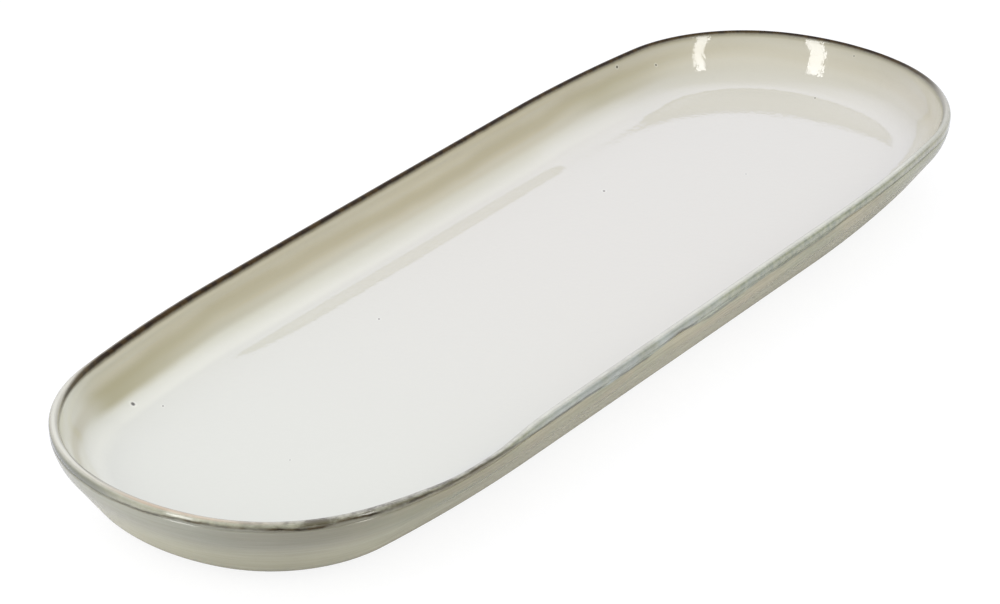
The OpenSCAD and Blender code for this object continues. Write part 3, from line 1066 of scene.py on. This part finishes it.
# Share of the room's level that is left at floor height, and the height from which it is full
LEVEL_LOW = 0.04
LEVEL_FULL = 50.0

# Distance of the strip softboxes from the far end of the plate, and that end's place, in metres
STRIP_DISTANCE = 1.1
FAR_END = Vector((0.168, 0.03, 0.02))
# Each strip's azimuth, lowest and highest height, width and tilt in degrees, and its radiance
STRIPS = {
    "strip_left": (-102.8, 2, 48, 9, 17, 7.0),
    "strip_right": (169.0, 2, 48, 9.5, -14, 7.5),
}


def studio_floor():
    """A plain white table. The camera sees most of it as plain white, and the rest as lit, so the
    plate keeps its soft shadow."""
    mesh = bpy.data.meshes.new("studio_floor")
    corners = [(x * FLOOR_REACH, y * FLOOR_REACH, 0) for x, y in ((-1, -1), (1, -1), (1, 1), (-1, 1))]
    mesh.from_pydata(corners, [], [(0, 1, 2, 3)])
    table = bpy.data.objects.new("studio_floor", mesh)
    bpy.context.scene.collection.objects.link(table)
    material = bpy.data.materials.new("studio_floor")
    material.use_nodes = True
    material.node_tree.nodes.clear()
    add = partial(put, material.node_tree)
    lit = add("ShaderNodeBsdfDiffuse", FLOOR_LIT)
    faint = add("ShaderNodeBsdfDiffuse", FLOOR_FAINT)
    white = add("ShaderNodeEmission", (1, 1, 1, 1), FLOOR_WHITE)
    both = add("ShaderNodeAddShader", faint.outputs[0], white.outputs[0])
    seen = add("ShaderNodeLightPath")
    pick = add("ShaderNodeMixShader", seen.outputs["Is Camera Ray"], lit.outputs[0], both.outputs[0])
    add("ShaderNodeOutputMaterial", pick.outputs[0])
    table.data.materials.append(material)


def studio_world(level, window):
    """The room round the plate: an even level, and one wide soft window behind the plate whose edges
    fade. The level is dim near the floor; the window brightens upwards. A direction is told by its
    turn from the middle of the window and its height above level. The camera sees plain white."""
    world = bpy.data.worlds.new("studio")
    bpy.context.scene.world = world
    world.use_nodes = True
    world.node_tree.nodes.clear()
    add = partial(put, world.node_tree)
    way = add("ShaderNodeTexCoord").outputs["Generated"]
    way = add("ShaderNodeVectorRotate", way, (0, 0, 0), (0, 0, 1), -radians(WINDOW_MIDDLE),
              rotation_type="Z_AXIS")
    axes = add("ShaderNodeSeparateXYZ", way.outputs[0])
    turn = add("ShaderNodeMath", axes.outputs[1], axes.outputs[0], operation="ARCTAN2")
    height = add("ShaderNodeMath", axes.outputs[2], operation="ARCSINE")
    shares = []
    for source, dim, full in ((turn, *WINDOW_RIGHT), (turn, *WINDOW_LEFT), (height, *WINDOW_TOP)):
        fade = add("ShaderNodeMapRange", source.outputs[0], radians(dim), radians(full), 0.0, 1.0,
                   interpolation_type="SMOOTHSTEP")
        shares.append(fade.outputs[0])
    share = add("ShaderNodeMath", shares[0], shares[1], operation="MULTIPLY")
    share = add("ShaderNodeMath", share.outputs[0], shares[2], operation="MULTIPLY")
    rise = add("ShaderNodeMapRange", height.outputs[0], 0.0, radians(LEVEL_FULL), LEVEL_LOW, 1.0,
               interpolation_type="SMOOTHSTEP")
    climb = add("ShaderNodeMapRange", height.outputs[0], 0.0, radians(CLIMB_FULL), *WINDOW_CLIMB)
    room = add("ShaderNodeBackground", (*level, 1), rise.outputs[0])
    pane = add("ShaderNodeBackground", (*window, 1), climb.outputs[0])
    light = add("ShaderNodeMixShader", share.outputs[0], room.outputs[0], pane.outputs[0])
    white = add("ShaderNodeBackground", (1, 1, 1, 1))
    seen = add("ShaderNodeLightPath")
    pick = add("ShaderNodeMixShader", seen.outputs["Is Camera Ray"], light.outputs[0], white.outputs[0])
    add("ShaderNodeOutputWorld", pick.outputs[0])


def strip_box(name, azimuth, low, high, spread, tilt, radiance):
    """A strip softbox, seen from the far end of the plate at an azimuth, between two heights and a
    spread of degrees wide, tilted sideways from upright. Its power is its area times its radiance
    times pi, so the radiance is what a mirror would show."""
    lamp = bpy.data.lights.new(name, "AREA")
    lamp.shape = "RECTANGLE"
    base, top = STRIP_DISTANCE * np.tan(radians(low)), STRIP_DISTANCE * np.tan(radians(high))
    lamp.size = 2 * STRIP_DISTANCE * np.tan(radians(spread / 2))
    lamp.size_y = top - base
    lamp.energy = pi * lamp.size * lamp.size_y * radiance
    holder = bpy.data.objects.new(name, lamp)
    bpy.context.scene.collection.objects.link(holder)
    outward = Vector((cos(radians(azimuth)), sin(radians(azimuth)), 0))
    centre = FAR_END + outward * STRIP_DISTANCE + Vector((0, 0, (base + top) / 2))
    level = Vector((0, 0, 1)).cross(outward)
    up = Vector((0, 0, cos(radians(tilt)))) + level * sin(radians(tilt))
    axes = Matrix((up.cross(outward), up, outward)).transposed()
    holder.matrix_world = Matrix.Translation(centre) @ axes.to_4x4()


place_camera()
studio_floor()
studio_world(ROOM_COLOUR, WINDOW_COLOUR)
for name, measures in STRIPS.items():
    strip_box(name, *measures)

scene = bpy.context.scene
scene.view_settings.view_transform = "Standard"
